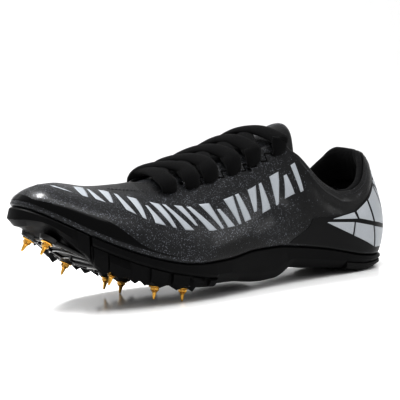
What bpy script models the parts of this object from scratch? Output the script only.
"""Left sprint spike shoe, built in millimetres and written out in metres.

The toe points along -X, the outer (lateral) side along -Y and up is +Z.  The floor is
the plane through the lowest spike points and the flat of the heel pad.
"""
import math
from collections import namedtuple

import bmesh
import bpy
import numpy as np
from mathutils import Vector

MM = 0.001

# Driving sizes, millimetres
TOE_X = -134.5            # front end of the feather line
HEEL_X = 133.0            # back end of the feather line
SHIFT = (-0.185, 0.345, 0.0)  # brings the middle of the whole shoe onto the origin
WALL = 1.4                # upper thickness
GAP = 0.3                 # clearance between neighbouring pieces
MARGIN = 9.0              # lasting margin turned in under the foot
COLUMN_STEP = 10.5        # distance between sections round the outline
PLATE_END_X = -26.0       # back face of the spike plate
BAND_FRONT_X = -105.0     # where the plate wall steps down below the midsole band
PAD_FRONT_X = 86.0        # front end of the heel pad
WEB_RISE = 1.8            # web of the plate above the boss faces
WEB_THICKNESS = 2.2
PAD_THICKNESS = 5.0
INSOLE_THICKNESS = 2.6
LACE_WIDTH = 8.6
LACE_THICKNESS = 3.2

# The tables are drawn for a shoe that reaches this far ahead of and behind x = 0
FRONT_DRAWN = 134.5
BACK_DRAWN = 133.0


def placed(x):
    """Place along the shoe, moved with the end of the shoe that lies on its side of x = 0."""
    return x * TOE_X / -FRONT_DRAWN if x < 0 else x * HEEL_X / BACK_DRAWN


def follow(rows, *fields):
    """Table rows with their places along the shoe moved with its two ends."""
    return [row._replace(**{name: placed(getattr(row, name)) for name in fields}) for row in rows]


# Feather line: half widths to either side of the centre line, and its height
Plan = namedtuple("Plan", "x lateral medial height")
PLAN = [
    Plan(-134.5, -8.0, 8.0, 65.5),
    Plan(-131.0, 5.5, 20.5, 64.0),
    Plan(-125.0, 15.5, 28.0, 60.2),
    Plan(-116.0, 26.0, 35.0, 54.0),
    Plan(-104.0, 34.5, 41.0, 46.4),
    Plan(-90.0, 40.5, 44.8, 38.8),
    Plan(-75.0, 44.8, 46.3, 32.2),
    Plan(-60.0, 46.8, 46.0, 27.0),
    Plan(-45.0, 47.0, 43.5, 23.6),
    Plan(-30.0, 45.8, 39.5, 22.4),
    Plan(-15.0, 43.3, 35.3, 22.6),
    Plan(10.0, 38.2, 30.0, 25.2),
    Plan(28.0, 35.0, 28.5, 25.0),
    Plan(45.0, 33.1, 28.8, 23.0),
    Plan(66.0, 32.0, 29.8, 19.4),
    Plan(80.0, 31.9, 30.7, 16.2),
    Plan(97.0, 31.0, 30.8, 11.9),
    Plan(110.0, 28.0, 28.0, 9.8),
    Plan(120.5, 22.0, 22.0, 9.0),
    Plan(128.5, 13.2, 13.2, 8.7),
    Plan(133.0, 0.0, 0.0, 8.6),
]
PLAN = follow(PLAN, "x")

# Underside of the sole along its middle
Under = namedtuple("Under", "x height")
UNDERSIDE = [
    Under(-137.0, 52.5),
    Under(-130.0, 48.8),
    Under(-123.0, 44.4),
    Under(-110.0, 35.8),
    Under(-100.0, 29.4),
    Under(-92.0, 25.0),
    Under(-82.0, 20.0),
    Under(-72.0, 16.0),
    Under(-62.0, 12.4),
    Under(-55.0, 10.4),
    Under(-45.0, 8.9),
    Under(-35.0, 8.4),
    Under(-26.0, 8.0),
    Under(-8.0, 7.0),
    Under(8.0, 4.4),
    Under(18.0, 3.6),
    Under(27.0, 3.8),
    Under(34.0, 6.0),
    Under(41.0, 9.2),
    Under(48.0, 8.4),
    Under(58.0, 6.7),
    Under(72.0, 5.0),
    Under(84.0, 3.4),
    Under(96.0, 1.2),
    Under(104.0, 0.2),
    Under(108.0, 0.0),
    Under(134.5, 0.0),
]
UNDERSIDE = follow(UNDERSIDE, "x")

# Wall of the spike plate: its lower edge, how far it bulges past the feather line at the
# toe, and how deep the midsole band hangs over it
Edge = namedtuple("Edge", "x height bulge band")
EDGES = [
    Edge(-134.5, 53.2, 2.5, 6.0),
    Edge(-131.0, 54.2, 2.3, 6.0),
    Edge(-127.0, 54.2, 1.9, 6.0),
    Edge(-122.0, 51.2, 1.3, 6.0),
    Edge(-119.0, 47.9, 1.1, 6.0),
    Edge(-113.0, 41.0, 0.7, 6.0),
    Edge(-107.0, 33.2, 0.4, 6.0),
    Edge(-102.0, 26.0, 0.3, 6.0),
    Edge(-93.0, 23.4, 0.0, 6.1),
    Edge(-80.0, 18.0, 0.0, 6.2),
    Edge(-62.0, 13.2, 0.0, 6.4),
    Edge(-45.0, 9.2, 0.0, 7.0),
    Edge(-38.0, 8.2, 0.0, 8.0),
    Edge(-26.0, 7.0, 0.0, 9.6),
]
EDGES = follow(EDGES, "x")

# Top edge of the upper.  Rows follow the feather line from toe to heel; until the
# throat both sides meet on the ridge, after it they are the eyestay and collar edges.
Top = namedtuple("Top", "base lateral_x lateral_y lateral_z medial_x medial_y medial_z lean")
TOP = [
    Top(-134.5, -116.0, 3.0, 78.0, -116.0, 3.0, 78.0, 88.0),
    Top(-125.0, -109.0, 3.0, 77.8, -109.0, 3.0, 77.8, 86.0),
    Top(-115.0, -100.0, 3.0, 76.2, -100.0, 3.0, 76.2, 84.0),
    Top(-100.0, -89.0, 2.5, 74.0, -89.0, 2.5, 74.0, 82.0),
    Top(-85.0, -78.0, 2.0, 73.4, -78.0, 2.0, 73.4, 80.0),
    Top(-70.0, -67.0, 1.5, 73.4, -67.0, 1.5, 73.4, 78.0),
    Top(-59.0, -57.5, 1.0, 73.8, -57.5, 1.0, 73.8, 76.0),
    Top(-53.0, -52.5, -6.5, 73.4, -52.5, 8.0, 74.4, 70.0),
    Top(-45.0, -45.0, -10.0, 73.2, -45.0, 11.5, 75.4, 64.0),
    Top(-30.0, -30.0, -12.0, 75.4, -30.0, 13.5, 78.2, 58.0),
    Top(-12.0, -12.0, -13.5, 79.0, -12.0, 15.0, 82.0, 52.0),
    Top(10.0, 10.0, -15.0, 84.0, 10.0, 16.5, 87.0, 44.0),
    Top(30.0, 30.0, -17.5, 89.4, 30.0, 18.5, 91.8, 36.0),
    Top(44.0, 45.0, -20.0, 92.6, 45.0, 20.5, 94.2, 30.0),
    Top(50.0, 49.5, -23.5, 86.6, 50.0, 23.5, 90.0, 26.0),
    Top(55.0, 54.4, -26.5, 82.0, 55.0, 26.0, 86.0, 22.0),
    Top(63.0, 62.3, -29.0, 72.2, 63.0, 28.5, 79.0, 20.0),
    Top(71.0, 69.8, -29.5, 64.4, 71.0, 29.5, 73.0, 20.0),
    Top(79.0, 77.3, -29.5, 59.4, 79.0, 30.0, 68.5, 22.0),
    Top(87.0, 85.2, -29.3, 56.0, 87.0, 30.0, 66.5, 24.0),
    Top(96.0, 94.2, -28.3, 56.0, 95.5, 29.8, 66.8, 24.0),
    Top(103.0, 100.4, -27.0, 57.8, 101.5, 29.6, 67.5, 24.0),
    Top(110.0, 106.6, -25.0, 61.0, 108.0, 28.3, 71.5, 23.0),
    Top(116.0, 110.8, -22.3, 64.4, 113.5, 25.8, 75.6, 22.0),
    Top(121.5, 115.0, -18.7, 68.6, 118.0, 21.6, 80.2, 20.0),
    Top(127.0, 119.4, -13.8, 73.8, 121.5, 16.0, 81.9, 18.0),
    Top(131.0, 123.6, -7.0, 78.6, 124.4, 8.0, 81.0, 17.0),
    Top(133.0, 125.5, 0.0, 80.0, 125.5, 0.0, 80.0, 16.0),
]
TOP = follow(TOP, "base", "lateral_x", "medial_x")
THROAT_BASE_X = placed(-59.0)
EYESTAY_TOP_X = placed(44.0)

# How each section leaves the feather line and how full it is
Form = namedtuple("Form", "base lean low_pull high_pull")
FORM = [
    Form(-134.5, -42.0, 0.26, 0.40),
    Form(-131.0, -20.0, 0.28, 0.42),
    Form(-125.0, -2.0, 0.32, 0.44),
    Form(-116.0, 4.0, 0.34, 0.44),
    Form(-100.0, 6.0, 0.34, 0.40),
    Form(-75.0, 6.0, 0.34, 0.38),
    Form(-45.0, 4.0, 0.34, 0.36),
    Form(-10.0, 2.0, 0.34, 0.34),
    Form(30.0, 3.0, 0.34, 0.32),
    Form(60.0, 8.0, 0.36, 0.30),
    Form(90.0, 13.0, 0.38, 0.30),
    Form(112.0, 19.0, 0.40, 0.30),
    Form(133.0, 24.0, 0.40, 0.30),
]
FORM = follow(FORM, "base")

# Blocks on the wall of the spike plate: how far each stands out, and its top
Block = namedtuple("Block", "front back stand_out top_share")
BLOCKS = [
    Block(-111.5, -105.6, 0.6, 1.0),
    Block(-103.7, -96.2, 0.5, 1.0),
    Block(-95.6, -83.7, 0.3, 0.6),
    Block(-71.6, -61.0, 0.8, 1.0),
    Block(-57.5, -46.3, 0.8, 1.0),
    Block(-45.9, -35.8, 0.3, 0.66),
    Block(-31.1, -26.0, 0.6, 0.8),
]
BLOCKS = follow(BLOCKS, "front", "back")
WALL_RECESS = 2.4
MEDIAL_LIFT = 2.2         # the inner wall hangs less deep than the outer one
TOOTH_TIPS = [placed(x) for x in (-99.0, -90.0, -80.5, -74.5, -65.0, -53.5, -42.5)]
TOOTH_DEPTH = 2.6

# Crown of the tongue
Crown = namedtuple("Crown", "x height")
CROWN = [
    Crown(-57.0, 71.0),
    Crown(-45.0, 74.3),
    Crown(-30.0, 77.3),
    Crown(-18.0, 80.0),
    Crown(0.0, 85.5),
    Crown(10.0, 88.6),
    Crown(25.0, 93.4),
    Crown(35.0, 95.4),
    Crown(48.0, 99.5),
    Crown(58.0, 103.8),
    Crown(63.0, 104.5),
]
CROWN = follow(CROWN, "x")
TONGUE_THICKNESS = 3.6

# Spikes: boss face under the plate, and how far each leans forward and outward
Spike = namedtuple("Spike", "number x y z pitch splay")
SPIKES = [
    Spike(1, -123.5, 13.3, 44.0, 37.0, 4.0),
    Spike(2, -122.8, -11.6, 43.6, 37.0, 4.0),
    Spike(3, -92.4, 28.0, 24.8, 27.0, 4.0),
    Spike(4, -89.0, -28.5, 23.2, 27.0, 4.0),
    Spike(5, -63.5, 30.0, 11.8, 15.0, 4.0),
    Spike(6, -62.5, -31.5, 11.6, 13.0, 4.0),
    Spike(7, -54.5, 26.5, 8.45, 11.0, 4.0),
    Spike(8, -44.8, -34.5, 8.46, 10.0, 4.0),
]
SPIKES = follow(SPIKES, "x")
BOSS_RADIUS = 5.6
SPIKE_LENGTH = 8.5

# Ribs between bosses, named by spike number, and pointed lugs beside them
RIBS = [(1, 2), (1, 3), (2, 4), (3, 4), (3, 5), (4, 6), (5, 6), (7, 8)]
Lug = namedtuple("Lug", "x y")
LUGS = [
    Lug(-115.5, 20.5),
    Lug(-113.5, -14.0),
    Lug(-106.0, 27.0),
    Lug(-99.0, 6.0),
    Lug(-78.0, 16.0),
    Lug(-76.0, -14.0),
]
LUGS = follow(LUGS, "x")
LUG_RADIUS = 2.6

# Eyelets: place along the eyestay and distance below its edge
Eyelet = namedtuple("Eyelet", "x inset")
EYELETS = [
    Eyelet(-42.0, 9.0),
    Eyelet(-26.0, 8.5),
    Eyelet(-12.0, 7.5),
    Eyelet(5.5, 6.8),
    Eyelet(21.0, 5.6),
    Eyelet(40.0, 4.0),
]
EYELETS = follow(EYELETS, "x")


def monotone(xs, ys):
    """Return a smooth curve through table rows that never overshoots them."""
    xs = np.asarray(xs, float)
    ys = np.asarray(ys, float)
    h = np.diff(xs)
    d = np.diff(ys) / h
    m = np.zeros_like(xs)
    for i in range(1, len(xs) - 1):
        if d[i - 1] * d[i] > 0:
            w1 = 2 * h[i] + h[i - 1]
            w2 = h[i] + 2 * h[i - 1]
            m[i] = (w1 + w2) / (w1 / d[i - 1] + w2 / d[i])
    m[0] = d[0]
    m[-1] = d[-1]

    def value(x):
        x = np.clip(x, xs[0], xs[-1])
        i = np.clip(np.searchsorted(xs, x) - 1, 0, len(h) - 1)
        t = (x - xs[i]) / h[i]
        a = (1 + 2 * t) * (1 - t) ** 2
        b = t * (1 - t) ** 2
        c = t * t * (3 - 2 * t)
        e = t * t * (t - 1)
        return a * ys[i] + b * h[i] * m[i] + c * ys[i + 1] + e * h[i] * m[i + 1]

    return value


def turn(x):
    """Angle that runs evenly round the rounded ends of the outline."""
    middle = (TOE_X + HEEL_X) / 2
    half = (HEEL_X - TOE_X) / 2
    return np.arccos(np.clip(-(np.asarray(x, float) - middle) / half, -1.0, 1.0))


def by_turn(rows, key, field):
    """Curve of one table field, smooth through the toe and the heel."""
    curve = monotone([turn(getattr(r, key)) for r in rows], [getattr(r, field) for r in rows])
    return lambda x: curve(turn(x))


lateral_half = by_turn(PLAN, "x", "lateral")
medial_half = by_turn(PLAN, "x", "medial")
feather = monotone([r.x for r in PLAN], [r.height for r in PLAN])
underside = monotone([r.x for r in UNDERSIDE], [r.height for r in UNDERSIDE])
crown = monotone([r.x for r in CROWN], [r.height for r in CROWN])
edge_field = {f: monotone([r.x for r in EDGES], [getattr(r, f) for r in EDGES]) for f in Edge._fields[1:]}
top_field = {f: by_turn(TOP, "base", f) for f in Top._fields[1:]}
form_field = {f: by_turn(FORM, "base", f) for f in Form._fields[1:]}


def slope(curve, x):
    """Slope of a height curve, by a small difference."""
    return float((curve(x + 0.5) - curve(x - 0.5)) / 1.0)


def rise(x, amount):
    """Height above the feather line, measured square to its slope."""
    return float(feather(x)) + amount * math.hypot(1.0, slope(feather, x))


def outline_point(x, side):
    """Point on the feather line in plan; side is -1 lateral, 1 medial."""
    half = lateral_half(x) if side < 0 else medial_half(x)
    return np.array([float(x), float(side * half)])


def ridge_x(x):
    """Where a section from the feather line meets the centre line."""
    feet = [placed(v) for v in (-FRONT_DRAWN, -110.0, -60.0, 90.0, BACK_DRAWN)]
    return float(np.interp(x, feet, [placed(v) for v in (-112.0, -98.0, -58.0, 88.0, 108.0)]))


Column = namedtuple("Column", "x side base out anchor")


def column(x, side):
    """Section plane at x: its foot on the outline, outward direction and centre point."""
    base = outline_point(x, side)
    anchor = np.array([ridge_x(x), 0.0])
    anchor[1] = float(np.interp(anchor[0], [placed(-112.0), placed(-60.0)], [3.5, 0.0]))
    away = base - anchor
    away = away / np.linalg.norm(away)
    return Column(float(x), side, base, away, anchor)


def stations(first, last, step, extra=()):
    """Section places at even distances along the outline, with extra ones kept."""
    fine = TOE_X + (HEEL_X - TOE_X) * (1 - np.cos(np.linspace(0, math.pi, 2001))) / 2
    ys = (lateral_half(fine) + medial_half(fine)) / 2
    along = np.concatenate([[0], np.cumsum(np.hypot(np.diff(fine), np.diff(ys)))])
    a, b = np.interp([first, last], fine, along)
    count = max(2, int(round((b - a) / step)))
    xs = [float(v) for v in np.interp(np.linspace(a, b, count + 1), along, fine)]
    xs[0], xs[-1] = first, last
    for e in extra:
        xs = [v for v in xs if abs(v - e) > step * 0.3 or v in (first, last)]
    return sorted(set(xs) | set(extra))


def ring_columns(xs):
    """Columns right round the outline: heel, lateral side, toe, medial side."""
    lateral = [column(x, -1) for x in reversed(xs)]
    medial = [column(x, 1) for x in xs[1:-1]]
    return lateral + medial


def point(col, inset, z):
    """Point in a section plane, measured inward from the feather line."""
    xy = col.base - col.out * inset
    return np.array([xy[0], xy[1], z])


def centre(col, z):
    """Point of a section plane on the centre line."""
    return np.array([col.anchor[0], col.anchor[1], z])


def seat(col, inset, amount):
    """Point of a section a given amount off the sloping bed of the foot."""
    p = point(col, inset, 0.0)
    p[2] = rise(p[0], amount)
    return p


def seat_centre(col, amount):
    """Centre line point a given amount off the bed of the foot."""
    return centre(col, rise(col.anchor[0], amount))


def under(col, inset, lift):
    """Point of a section a given lift above the sole's underside."""
    p = point(col, inset, 0.0)
    p[2] = float(underside(p[0])) + lift
    return p


def under_centre(col, lift):
    """Centre line point a given lift above the sole's underside."""
    return centre(col, float(underside(col.anchor[0])) + lift)


def new_object(name, bm, collection, material, triangles=True):
    """Clean a bmesh, turn its faces outward and store it as an object."""
    bmesh.ops.remove_doubles(bm, verts=bm.verts, dist=2e-6)
    bmesh.ops.dissolve_degenerate(bm, edges=bm.edges, dist=1e-6)
    bmesh.ops.recalc_face_normals(bm, faces=bm.faces)
    if triangles:
        bmesh.ops.triangulate(bm, faces=bm.faces)
    mesh = bpy.data.meshes.new(name)
    bm.to_mesh(mesh)
    bm.free()
    obj = bpy.data.objects.new(name, mesh)
    collection.objects.link(obj)
    if material:
        mesh.materials.append(material)
    return obj


def grid_bmesh(rows, wrap_rows=False, wrap_points=False):
    """Quads between neighbouring rows of points."""
    bm = bmesh.new()
    verts = [[bm.verts.new((Vector(p) + Vector(SHIFT)) * MM) for p in row] for row in rows]
    row_count = len(rows) if wrap_rows else len(rows) - 1
    for i in range(row_count):
        a = verts[i]
        b = verts[(i + 1) % len(rows)]
        point_count = len(a) if wrap_points else len(a) - 1
        for j in range(point_count):
            k = (j + 1) % len(a)
            bm.faces.new((a[j], a[k], b[k], b[j]))
    return bm, verts


SECTION_STEPS = np.linspace(0.0, 1.0, 8)


def section_bezier(col):
    """Four control points of the upper in one section plane."""
    side = "lateral" if col.side < 0 or col.x <= THROAT_BASE_X else "medial"
    start = seat(col, 0.2, GAP + 1.8)
    end = np.array([float(top_field[side + "_" + axis](col.x)) for axis in "xyz"])
    reach = np.linalg.norm(end - start)
    low = math.radians(float(form_field["lean"](col.x)))
    high = math.radians(float(top_field["lean"](col.x)))
    out = np.array([col.out[0], col.out[1], 0.0])
    up = np.array([0.0, 0.0, 1.0])
    away = level_away(col, start, end)
    one = start + reach * float(form_field["low_pull"](col.x)) * (out * math.sin(low) + up * math.cos(low))
    two = end + reach * float(form_field["high_pull"](col.x)) * (away * math.sin(high) - up * math.cos(high))
    return start, one, two, end


def level_away(col, start, end):
    """Level direction from the top edge towards the outside of the shoe."""
    away = start - end + 14.0 * np.array([col.out[0], col.out[1], 0.0])
    away[2] = 0.0
    return away / np.linalg.norm(away)


def bezier(controls, t):
    """Point on a cubic curve."""
    p0, p1, p2, p3 = controls
    return ((1 - t) ** 3) * p0 + 3 * t * ((1 - t) ** 2) * p1 + 3 * t * t * (1 - t) * p2 + (t ** 3) * p3


def below_top(col, distance):
    """Place on the upper a given distance below its top edge, with the inward normal."""
    controls = section_bezier(col)
    ts = SECTION_STEPS[::-1]
    pts = np.array([bezier(controls, t) for t in ts])
    run = np.concatenate([[0], np.cumsum(np.linalg.norm(np.diff(pts, axis=0), axis=1))])
    p = np.array([np.interp(max(distance, 0.0), run, pts[:, k]) for k in range(3)])
    t = float(np.interp(max(distance, 0.0), run, ts))
    ahead = bezier(controls, min(t + 0.03, 1.0)) - bezier(controls, max(t - 0.03, 0.0))
    ahead = ahead / np.linalg.norm(ahead)
    if distance < 0:
        p = p - ahead * distance
    away = level_away(col, controls[0], controls[3])
    inward = -away * ahead[2] + np.array([0.0, 0.0, 1.0]) * float(np.dot(ahead, away))
    return p, inward / np.linalg.norm(inward)


def upper_stations():
    """Sections shared by the upper and everything that lies against it."""
    return stations(TOE_X, HEEL_X, COLUMN_STEP, (THROAT_BASE_X, EYESTAY_TOP_X))


def make_upper(collection, material):
    """Hollow upper: one skin from the lasting margin to the top edge, made solid inward."""
    rows = []
    for col in ring_columns(upper_stations()):
        row = [seat(col, MARGIN, GAP), seat(col, MARGIN / 2, GAP), seat(col, 1.6, GAP)]
        row.append(seat(col, 0.5, GAP + 0.6))
        controls = section_bezier(col)
        row += [bezier(controls, t) for t in SECTION_STEPS]
        rows.append(row)
    bm, _ = grid_bmesh(rows, wrap_rows=True)
    obj = new_object("upper", bm, collection, material, triangles=False)
    shell = obj.modifiers.new("wall", "SOLIDIFY")
    shell.thickness = WALL * MM
    shell.offset = -1.0
    shell.use_even_offset = True
    shell.use_rim = True
    return obj


def band_low(x):
    """Lower edge of the midsole band on the side of the forefoot."""
    return float(feather(x)) - float(edge_field["band"](x))


WEB_TOP = WEB_RISE + WEB_THICKNESS


def floor_edge(col, inset):
    """Cavity floor of the plate beside its wall; at the toe it climbs with the edge."""
    p = under(col, inset, WEB_TOP)
    if col.x < placed(-104.0):
        p[2] = max(p[2], float(edge_field["height"](col.x)) + 2.0)
    return p


def blend(a, b, share):
    """Point by point mix of two rows of section points."""
    return [p * (1.0 - share) + q * share for p, q in zip(a, b)]


def make_midsole(collection, material):
    """Full-length moulded unit, stepped over the spike plate and the heel pad."""
    front = BAND_FRONT_X + 0.7
    extra = (front - 0.5, front, PLATE_END_X + 0.4, PLATE_END_X + 1.0, PAD_FRONT_X - 0.9, PAD_FRONT_X - 0.3)
    rows = []
    for col in ring_columns(stations(TOE_X, HEEL_X, COLUMN_STEP, extra)):
        x = col.x
        top = float(feather(x))
        over = WEB_TOP + GAP
        rim = [point(col, -0.6, top - 0.7), seat(col, 0.5, 0.0), seat_centre(col, 0.0)]
        if x < front - 0.2:
            over += 0.5
            corner = float(floor_edge(col, 4.4)[2])
            fall = (float(under(col, 10.0, WEB_TOP)[2]) - corner) / 5.6
            shelf = max(band_low(x) + GAP, corner + fall * 1.8 + 0.6)
            shelf = min(shelf, float(seat(col, 6.4, -1.6)[2]))
            row = [under_centre(col, over), under(col, 11.0, over)]
            row += [point(col, 8.0, corner + fall * 3.6 + 0.8)]
            row += [point(col, 7.2, shelf), point(col, 6.4, shelf + 0.3), seat(col, 6.4, -1.0)]
            row += [seat(col, 7.0, -0.2), seat(col, 8.8, 0.0), seat_centre(col, 0.0)]
        elif x < PLATE_END_X + 0.6:
            side = band_low(x) + GAP
            row = [under_centre(col, over), under(col, 12.0, over), under(col, 7.4, over)]
            row += [point(col, 6.4, side), point(col, 0.4, side), point(col, -0.9, side + 1.6)] + rim
        else:
            low = float(underside(x))
            edge = low + 1.2
            inset = 5.0
            if x > PAD_FRONT_X - 0.6:
                low = float(underside(x)) + PAD_THICKNESS + GAP
                edge = low
                inset = 1.0
            side = edge + 0.45 * (top - edge)
            row = [centre(col, low), point(col, 14.0, low)]
            row += [point(col, inset + 2.5, edge - 0.6 * (edge > low))]
            row += [point(col, inset, edge), point(col, 0.25 * inset, (edge + side) / 2)]
            row += [point(col, -0.7, side)] + rim
        rows.append(row)
    bm, _ = grid_bmesh(rows, wrap_rows=True)
    return new_object("midsole", bm, collection, material)


def block_at(x):
    """Side block standing at x, if any."""
    for block in BLOCKS:
        if block.front - 0.01 <= x <= block.back + 0.01:
            return block
    return None


def tooth_places():
    """Valleys and points of the teeth in turn, valleys half way between points."""
    valleys = [(a + b) / 2 for a, b in zip(TOOTH_TIPS, TOOTH_TIPS[1:])]
    valleys = [TOOTH_TIPS[0] - 2.6] + valleys + [TOOTH_TIPS[-1] + 2.8]
    return sorted(TOOTH_TIPS + valleys)


def tooth_at(x):
    """Depth of the tooth under the wall at x."""
    return TOOTH_DEPTH * float(np.interp(x, tooth_places(), [0.0, 1.0] * len(TOOTH_TIPS) + [0.0]))


def plate_section(col):
    """Closed half section of the spike plate: web, wall with its blocks, and cavity."""
    x = col.x
    web = float(under(col, 9.5, WEB_RISE)[2])
    edge = float(edge_field["height"](x))
    if col.side > 0:
        places = [placed(v) for v in (-112.0, -105.0, -84.0, -72.0)]
        edge += float(np.interp(x, places, [0.0, MEDIAL_LIFT, MEDIAL_LIFT, 0.0]))
    front = x < BAND_FRONT_X
    roof = float(feather(x)) - GAP if front else band_low(x)
    lift = edge - web
    bulge = float(edge_field["bulge"](x))
    tall = roof - edge
    bottom = [under_centre(col, WEB_RISE), under(col, 12.0, WEB_RISE), under(col, 9.5, WEB_RISE)]
    toe = [point(col, 7.6, web + 0.35 * lift), point(col, 5.8, web + 0.62 * lift)]
    toe += [point(col, 3.2, web + 0.88 * lift), point(col, 0.8, edge)]
    toe += [point(col, -bulge, edge + 0.4 * tall), point(col, -0.3 * bulge, roof - 0.9)]
    block = block_at(x)
    recess = WALL_RECESS
    shelf = roof - 0.5
    if block:
        recess = 0.8 - block.stand_out
        shelf = edge + block.top_share * tall - 0.5
    tooth = tooth_at(x)
    side = [point(col, 7.6, edge + 0.6), point(col, 5.8, edge - tooth)]
    side += [point(col, 3.4 + 0.4 * recess, edge + 1.0 - 0.4 * tooth)]
    side += [point(col, 2.0 + 0.8 * recess, edge + 2.0)]
    side += [point(col, 0.9 + recess, edge + 0.5 * tall), point(col, recess, shelf)]
    share = float(np.interp(x, [placed(-113.0), placed(-106.0)], [0.0, 1.0]))
    row = bottom + blend(toe, side, share)
    wide = 3.8 if front else 5.4
    brow = 1.8 if block and block.top_share < 0.9 else 0.4
    if front:
        row += [seat(col, brow, -GAP), seat(col, wide, -GAP)]
    else:
        row += [point(col, brow, roof), point(col, wide, roof)]
    row.append(floor_edge(col, wide + 0.6))
    return row + [under(col, 10.0, WEB_TOP), under_centre(col, WEB_TOP)]


def plate_stations():
    """Sections of the plate: both flanks of every block and the points of its teeth."""
    edges = [BAND_FRONT_X - 0.5, BAND_FRONT_X]
    for block in BLOCKS:
        edges += [block.front - 0.25, block.front + 0.05, block.back - 0.05, block.back + 0.25]
    edges = [e for e in edges if e < PLATE_END_X - 0.1]
    teeth = [t for t in tooth_places() if min(abs(t - e) for e in edges) > 0.8]
    xs = stations(TOE_X, PLATE_END_X, COLUMN_STEP, tuple(edges + teeth))
    return [x for i, x in enumerate(xs) if i == 0 or x - xs[i - 1] > 0.15]


def make_plate(collection, material, cutters):
    """Spike plate with its wall, blocks, teeth, bosses, ribs and lugs."""
    xs = plate_stations()
    lateral = [plate_section(column(x, -1)) for x in reversed(xs)]
    medial = [plate_section(column(x, 1)) for x in xs[1:]]
    bm, verts = grid_bmesh(lateral + medial)
    bm.faces.new(verts[0])
    bm.faces.new(verts[-1])
    obj = new_object("spike_plate", bm, collection, material)
    for spike in SPIKES:
        add_union(obj, boss(spike, cutters))
    for a, b in RIBS:
        add_union(obj, rib(a, b, cutters))
    for number, spot in enumerate(LUGS):
        add_union(obj, lug(number, spot, cutters))
    return obj


def add_union(obj, tool):
    """Join a helper solid to a piece."""
    mod = obj.modifiers.new("join_" + tool.name, "BOOLEAN")
    mod.operation = "UNION"
    mod.solver = "EXACT"
    mod.object = tool


def spike_frame(spike):
    """Boss face centre of a spike, with its lengthwise and downward directions."""
    pitch = math.radians(spike.pitch)
    splay = math.radians(math.copysign(spike.splay, spike.y))
    down = np.array([-math.sin(pitch), math.sin(splay), -math.cos(pitch)])
    down = down / np.linalg.norm(down)
    along = np.cross(np.array([0.0, 1.0, 0.0]), down)
    along = along / np.linalg.norm(along)
    return np.array([spike.x, spike.y, spike.z]), along, down


def lathe(name, base, down, along, profile, collection, material, count=12, square=()):
    """Turned solid on an axis; profile rows are radius and depth along the axis."""
    across = np.cross(down, along)
    rows = []
    for index, (radius, depth) in enumerate(profile):
        ring = []
        for k in range(count):
            a = 2 * math.pi * (k + 0.5) / count
            r = radius
            if index in square:
                r = min(radius, 0.86 * radius / max(abs(math.cos(a)), abs(math.sin(a))))
            ring.append(base + down * depth + (along * math.cos(a) + across * math.sin(a)) * r)
        rows.append(ring)
    bm, verts = grid_bmesh(rows, wrap_points=True)
    bm.faces.new(verts[0])
    bm.faces.new(verts[-1])
    return new_object(name, bm, collection, material)


def boss(spike, cutters):
    """Round boss under the plate."""
    base, along, down = spike_frame(spike)
    middle_of_web = float(underside(spike.x)) + WEB_RISE + WEB_THICKNESS * 0.5
    depth = (middle_of_web - spike.z) * math.cos(math.radians(spike.pitch))
    return lathe("boss_%d" % spike.number, base, down, along,
                 [(BOSS_RADIUS + 0.6, -depth), (BOSS_RADIUS, 0.0)], cutters, None, 10)


def rib(first, second, cutters):
    """Curved rib from one boss to another, sunk into the web above it."""
    ends = {s.number: np.array([s.x, s.y]) for s in SPIKES}
    start, end = ends[first], ends[second]
    across = np.array([start[1] - end[1], end[0] - start[0], 0.0])
    across = across / np.linalg.norm(across)
    rows = []
    for share in (0.06, 0.5, 0.94):
        xy = start + (end - start) * share
        low = np.array([xy[0], xy[1], float(underside(xy[0])) + 0.9])
        high = low + np.array([0.0, 0.0, 2.45])
        rows.append([low - across * 0.9, low + across * 0.9, high + across * 1.7, high - across * 1.7])
    bm, verts = grid_bmesh(rows, wrap_points=True)
    bm.faces.new(verts[0])
    bm.faces.new(verts[-1])
    return new_object("rib_%d_%d" % (first, second), bm, cutters, None)


def lug(number, spot, cutters):
    """Small pointed lug under the web."""
    s = slope(underside, spot.x)
    down = np.array([s, 0.0, -1.0]) / math.hypot(1.0, s)
    along = np.array([1.0, 0.0, s]) / math.hypot(1.0, s)
    base = np.array([spot.x, spot.y, float(underside(spot.x)) + WEB_RISE])
    return lathe("lug_%d" % number, base, down, along,
                 [(LUG_RADIUS, -0.9), (0.4, 2.9)], cutters, None, 4)


def make_pad(collection, material):
    """Rubber pad under the heel with a flat resting spot."""
    xs = stations(PAD_FRONT_X, HEEL_X, COLUMN_STEP)
    lateral = []
    medial = []
    for x in xs:
        for side, rows in ((-1, lateral), (1, medial)):
            col = column(x, side)
            low = float(underside(x))
            top = low + PAD_THICKNESS
            lift = float(np.interp(x, [PAD_FRONT_X, placed(100.0), placed(112.0), HEEL_X], [0.8, 1.0, 1.6, 2.4]))
            row = [centre(col, low), point(col, 12.0, low), point(col, 7.5, low)]
            row += [point(col, 3.6, low + 0.5 * lift), point(col, 1.2, low + 1.4 * lift)]
            row += [point(col, 0.2, low + 0.65 * PAD_THICKNESS), point(col, 0.4, top), centre(col, top)]
            rows.append(row)
    ordered = lateral + list(reversed(medial[:-1]))
    bm, verts = grid_bmesh(ordered)
    bm.faces.new(verts[0])
    bm.faces.new(verts[-1])
    return new_object("heel_pad", bm, collection, material)


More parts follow.
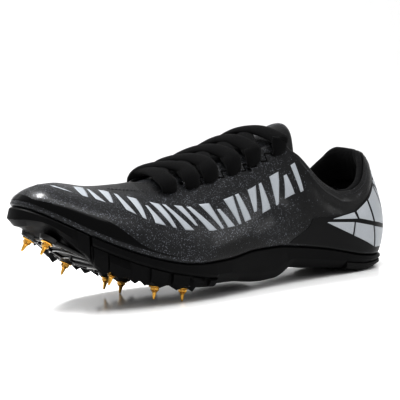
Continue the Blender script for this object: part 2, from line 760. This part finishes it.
def make_insole(collection, material):
    """Footbed that rests above the lasting margin."""
    rows = []
    xs = [x for x in upper_stations() if TOE_X + 5.0 < x < HEEL_X - 1.0]
    for col in ring_columns(xs):
        low = GAP + WALL + GAP
        top = low + INSOLE_THICKNESS
        places = [placed(v) for v in (-FRONT_DRAWN, -120.0, -105.0, -90.0)]
        inset = float(np.interp(col.x, places, [9.0, 7.0, 4.8, 3.6]))
        row = [seat_centre(col, low), seat(col, inset + 1.0, low), seat(col, inset, low + 0.6)]
        row += [seat(col, inset, top - 0.6), seat(col, inset + 1.0, top), seat_centre(col, top)]
        rows.append(row)
    bm, _ = grid_bmesh(rows, wrap_rows=True)
    return new_object("insole", bm, collection, material)


# Collar lining: distance below the top edge and depth inward from the upper's inner face
Roll = namedtuple("Roll", "distance depth")
ROLL = [
    Roll(24.0, 0.5),
    Roll(10.0, 0.5),
    Roll(0.4, 0.5),
    Roll(-1.8, 1.5),
    Roll(-1.6, 3.4),
    Roll(1.6, 4.8),
    Roll(9.0, 4.2),
    Roll(24.0, 1.7),
]


def make_lining(collection, material):
    """Padded collar lining, thickest at its roll along the top edge."""
    xs = [x for x in upper_stations() if x > EYESTAY_TOP_X + 3.0]
    columns = [column(x, -1) for x in xs] + [column(x, 1) for x in reversed(xs[:-1])]
    rows = []
    for col in columns:
        swell = float(np.interp(col.x, [xs[0], xs[0] + 14.0], [0.4, 1.0]))
        row = []
        for roll in ROLL:
            p, inward = below_top(col, roll.distance)
            row.append(p + inward * (WALL + 0.5 + (roll.depth - 0.5) * swell))
        rows.append(row)
    bm, verts = grid_bmesh(rows, wrap_points=True)
    bm.faces.new(verts[0])
    bm.faces.new(verts[-1])
    return new_object("collar_lining", bm, collection, material)


def tongue_section(x):
    """Upper face of the tongue across the shoe at x."""
    depth = WALL + GAP + 0.4
    reach = min(x, EYESTAY_TOP_X)
    knots = []
    for side in (-1, 1):
        for distance in (9.0, 4.0, 0.0):
            p, inward = below_top(column(reach, side), distance)
            knots.append(p + inward * depth)
    knots = sorted(knots, key=lambda p: p[1])
    past = max(0.0, x - EYESTAY_TOP_X)
    narrow = 1.0 - 0.013 * past
    lift = float(crown(x) - crown(reach))
    ys = [p[1] * narrow for p in knots]
    zs = [p[2] + lift for p in knots]
    ys = ys[:3] + [0.0] + ys[3:]
    zs = zs[:3] + [float(crown(x))] + zs[3:]
    curve = monotone(ys, zs)
    return [np.array([x, float(y), float(curve(y))]) for y in np.linspace(ys[0], ys[-1], 9)]


def make_tongue(collection, material):
    """Padded tongue from under the vamp to a rolled end above the top eyelets."""
    inner = [x for x in upper_stations() if placed(-55.0) < x < EYESTAY_TOP_X + 1.0]
    ends = [placed(v) for v in (-55.5, -48.0, 48.0, 57.0, 61.0, 63.0)]
    xs = [ends[0]] + inner + [placed(51.0)] + ends[3:]
    rows = []
    for x in xs:
        full = float(np.interp(x, ends, [0.45, 1.0, 1.0, 1.35, 1.1, 0.45]))
        thick = TONGUE_THICKNESS * full
        sink = float(np.interp(x, ends, [0.8, 0.0, 0.0, 0.0, 0.7, 2.0]))
        upper_face = []
        lower_face = []
        top = tongue_section(x)
        for j, p in enumerate(top):
            edge = j in (0, len(top) - 1)
            s = sink + (0.7 if edge else 0.0)
            upper_face.append(p - np.array([0.0, 0.0, s]))
            lower_face.append(p - np.array([0.0, 0.0, s + thick * (0.45 if edge else 1.0)]))
        rows.append(upper_face + list(reversed(lower_face)))
    bm, verts = grid_bmesh(rows, wrap_points=True)
    bm.faces.new(verts[0])
    bm.faces.new(verts[-1])
    return new_object("tongue", bm, collection, material)


def tongue_height(x, y):
    """Height of the tongue's upper face above a place on it."""
    top = tongue_section(x)
    return float(np.interp(y, [p[1] for p in top], [p[2] for p in top]))


def lace_path(start, start_side, end, over):
    """Centre line of one crossing, from eyelet to eyelet over the tongue."""
    clear = LACE_THICKNESS / 2 + GAP + 0.9 + 0.9 * over
    knots = []
    for spot, side in ((start, start_side), (end, -start_side)):
        col = column(spot.x, side)
        for distance in (spot.inset + 0.7 * over, 0.0):
            p, inward = below_top(col, distance)
            knots.append(p - inward * clear)
    knots = sorted(knots, key=lambda p: p[1])
    path = [knots[0], knots[1]]
    for share in (0.33, 0.67):
        p = knots[1] + (knots[2] - knots[1]) * share
        above = max(tongue_height(p[0] + d, p[1]) for d in (-3.0, 0.0, 3.0))
        p[2] = above + LACE_THICKNESS / 2 + GAP + 0.4 + 2.5 * over
        path.append(p)
    return path + [knots[2], knots[3]]


def ribbon(name, path, collection, material=None):
    """Flat lace with round edges swept along a path."""
    rows = []
    count = 6
    for i, p in enumerate(path):
        ahead = path[min(i + 1, len(path) - 1)] - path[max(i - 1, 0)]
        ahead = ahead / np.linalg.norm(ahead)
        flat = np.cross(ahead, np.array([-slope(crown, float(p[0])), 0.0, 1.0]))
        flat = flat / np.linalg.norm(flat)
        up = np.cross(flat, ahead)
        scale = 0.8 if i in (0, len(path) - 1) else 1.0
        ring = []
        for k in range(count):
            a = 2 * math.pi * k / count
            side = flat * math.cos(a) * LACE_WIDTH / 2
            ring.append(p + (side + up * math.sin(a) * LACE_THICKNESS / 2) * scale)
        rows.append(ring)
    bm, verts = grid_bmesh(rows, wrap_points=True)
    bm.faces.new(verts[0])
    bm.faces.new(verts[-1])
    return new_object(name, bm, collection, material)


def make_laces(collection, material, cutters):
    """Bottom bar and crossings, joined into one solid."""
    obj = ribbon("laces", lace_path(EYELETS[0], -1, EYELETS[0], 0.35), collection, material)
    for i in range(len(EYELETS) - 1):
        under = lace_path(EYELETS[i], -1, EYELETS[i + 1], 0.0)
        over = lace_path(EYELETS[i], 1, EYELETS[i + 1], 1.0)
        add_union(obj, ribbon("lace_under_%d" % i, under, cutters))
        add_union(obj, ribbon("lace_over_%d" % i, over, cutters))
    return obj


def make_spike(spike, collection, material):
    """Pin spike: flange, wrench block and tapered point."""
    base, along, down = spike_frame(spike)
    profile = [
        (3.8, 0.3),
        (3.9, 0.9),
        (2.9, 1.3),
        (2.9, 2.9),
        (1.5, 3.3),
        (1.2, 4.2),
        (0.6, SPIKE_LENGTH),
    ]
    return lathe("spike_%d" % spike.number, base, down, along, profile, collection, material, 8, (2, 3))


def material(name, colour, roughness, metallic=0.0):
    """Plain surface for one piece."""
    mat = bpy.data.materials.new(name)
    mat.use_nodes = True
    shader = mat.node_tree.nodes["Principled BSDF"]
    shader.inputs["Base Color"].default_value = (*colour, 1.0)
    shader.inputs["Roughness"].default_value = roughness
    shader.inputs["Metallic"].default_value = metallic
    return mat


for old in list(bpy.data.objects):
    bpy.data.objects.remove(old, do_unlink=True)

shoe = bpy.data.collections.new("track_spike_shoe")
helpers = bpy.data.collections.new("joined_helpers")
bpy.context.scene.collection.children.link(shoe)
bpy.context.scene.collection.children.link(helpers)

make_upper(shoe, material("glitter_synthetic", (0.035, 0.036, 0.038), 0.35))
make_midsole(shoe, material("moulded_foam", (0.012, 0.012, 0.013), 0.5))
make_plate(shoe, material("moulded_plate", (0.012, 0.012, 0.013), 0.35), helpers)
make_pad(shoe, material("heel_rubber", (0.01, 0.01, 0.01), 0.6))
make_insole(shoe, material("footbed_foam", (0.02, 0.02, 0.02), 0.8))
make_lining(shoe, material("lining_textile", (0.015, 0.015, 0.016), 0.8))
make_tongue(shoe, material("tongue_synthetic", (0.035, 0.036, 0.038), 0.5))
make_laces(shoe, material("lace_polyester", (0.008, 0.008, 0.009), 0.8), helpers)
gold = material("gold_plated_steel", (0.85, 0.52, 0.12), 0.25, 1.0)
for item in SPIKES:
    make_spike(item, shoe, gold)

for tool in helpers.objects:
    tool.hide_render = True
    tool.display_type = "WIRE"
